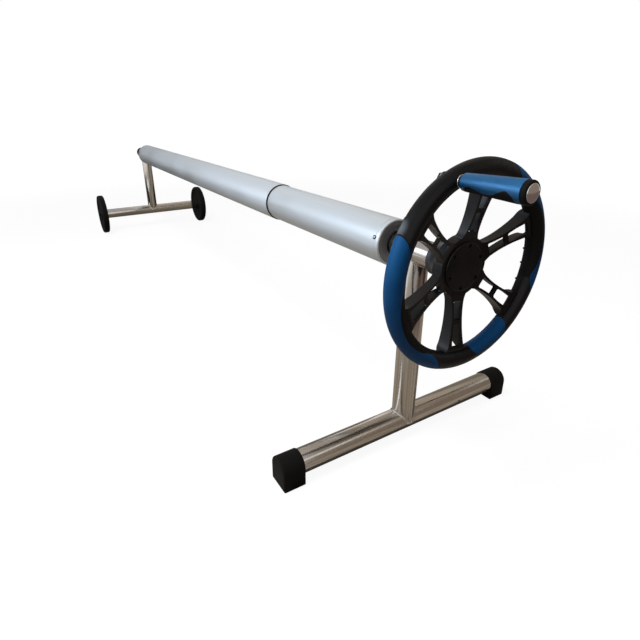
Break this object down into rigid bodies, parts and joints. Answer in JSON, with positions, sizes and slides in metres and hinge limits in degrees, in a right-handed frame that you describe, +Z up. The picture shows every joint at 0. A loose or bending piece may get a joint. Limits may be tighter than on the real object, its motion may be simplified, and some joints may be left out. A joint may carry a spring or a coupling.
{
  "type": "pool cover reel",
  "caption": "Telescopic pool cover reel: extending roller on tube stands, one with rubber feet and one with transport wheels, turned by a spoked hand wheel with a spinning grip.",
  "frame": {"origin": "on the floor, under the middle of the reel's overall length and width at rest", "axes": "+X along the roller towards the hand wheel, +Y along the foot bars, +Z up"},
  "size_m": [2.2827, 0.5446, 0.53],
  "materials": {
    "polished_steel": "polished",
    "roller_aluminium": "satin anodised",
    "chrome": "mirror bright",
    "black_rubber": "matt",
    "black_plastic": "satin",
    "black_grain": "fine leather grain",
    "grey_plastic": "matt",
    "metallic_blue": "metallic lacquer"
  },
  "bodies": {
    "near_stand": {"near_foot_bar": "polished_steel", "near_upright": "polished_steel", "near_head_tube": "polished_steel", "near_bush_roller_side": "black_plastic", "near_bush_outer_side": "black_plastic", "rubber_foot_left": "black_rubber", "rubber_foot_right": "black_rubber"},
    "near_roller": {"near_roller_tube": "roller_aluminium", "near_end_cap": "grey_plastic", "near_cap_screw_a": "polished_steel", "near_cap_screw_b": "polished_steel", "near_shaft": "polished_steel", "near_shaft_pin": "polished_steel", "guide_ring": "black_plastic", "hub_boss": "black_plastic", "wheel_spider": "black_plastic", "rim_cover": "black_grain", "rim_sleeve_left": "metallic_blue", "rim_sleeve_right": "metallic_blue", "rim_pad_bottom": "metallic_blue", "rim_pad_top": "metallic_blue", "hub_cover": "black_plastic", "hub_screw_1": "polished_steel", "hub_screw_2": "polished_steel", "hub_screw_3": "polished_steel", "hub_screw_4": "polished_steel", "hub_screw_5": "polished_steel", "hub_screw_6": "polished_steel", "shaft_bolt": "polished_steel", "shaft_washer": "polished_steel", "grip_spindle": "polished_steel", "grip_base_washer": "chrome", "grip_back_washer": "polished_steel", "grip_nut": "polished_steel"},
    "grip": {"grip_sleeve": "metallic_blue", "grip_insert": "black_rubber", "grip_cap": "black_rubber", "grip_medallion": "chrome"},
    "far_stand": {"far_foot_bar": "polished_steel", "far_upright": "polished_steel", "far_head_tube": "polished_steel", "far_bush_roller_side": "black_plastic", "far_bush_outer_side": "black_plastic", "axle_plug_left": "black_plastic", "axle_plug_right": "black_plastic", "axle_bolt_left": "polished_steel", "axle_bolt_right": "polished_steel"},
    "far_roller": {"far_roller_tube": "roller_aluminium", "slide_bush": "black_plastic", "far_end_cap": "grey_plastic", "far_cap_screw_a": "polished_steel", "far_cap_screw_b": "polished_steel", "far_shaft": "polished_steel", "far_shaft_pin": "polished_steel", "far_shaft_washer": "polished_steel", "far_shaft_bolt": "polished_steel", "far_shaft_cap": "black_plastic"},
    "wheel_left": {"transport_wheel_left": "black_rubber"},
    "wheel_right": {"transport_wheel_right": "black_rubber"}
  },
  "joints": [
    {"name": "telescope_slide", "type": "slide", "parent": "near_stand", "child": "far_stand", "axis": [-1, 0, 0], "range_m": [-0.4, 0.6]},
    {"name": "roller_spin", "type": "hinge", "parent": "near_stand", "child": "near_roller", "pos_m": [0.90907, 0, 0.37], "axis": [1, 0, 0], "continuous": true},
    {"name": "far_roller_spin", "type": "hinge", "parent": "far_stand", "child": "far_roller", "pos_m": [-1.05093, 0, 0.37], "axis": [1, 0, 0], "continuous": true},
    {"name": "wheel_left_spin", "type": "hinge", "parent": "far_stand", "child": "wheel_left", "pos_m": [-1.05093, -0.2448, 0.0915], "axis": [0, 1, 0], "continuous": true},
    {"name": "wheel_right_spin", "type": "hinge", "parent": "far_stand", "child": "wheel_right", "pos_m": [-1.05093, 0.2448, 0.0915], "axis": [0, 1, 0], "continuous": true},
    {"name": "grip_spin", "type": "hinge", "parent": "near_roller", "child": "grip", "pos_m": [1.02258, -0.05765, 0.50387], "axis": [1, 0, 0], "continuous": true}
  ],
  "couplings": [
    {"joint": "far_roller_spin", "follows": "roller_spin", "ratio": 1}
  ]
}
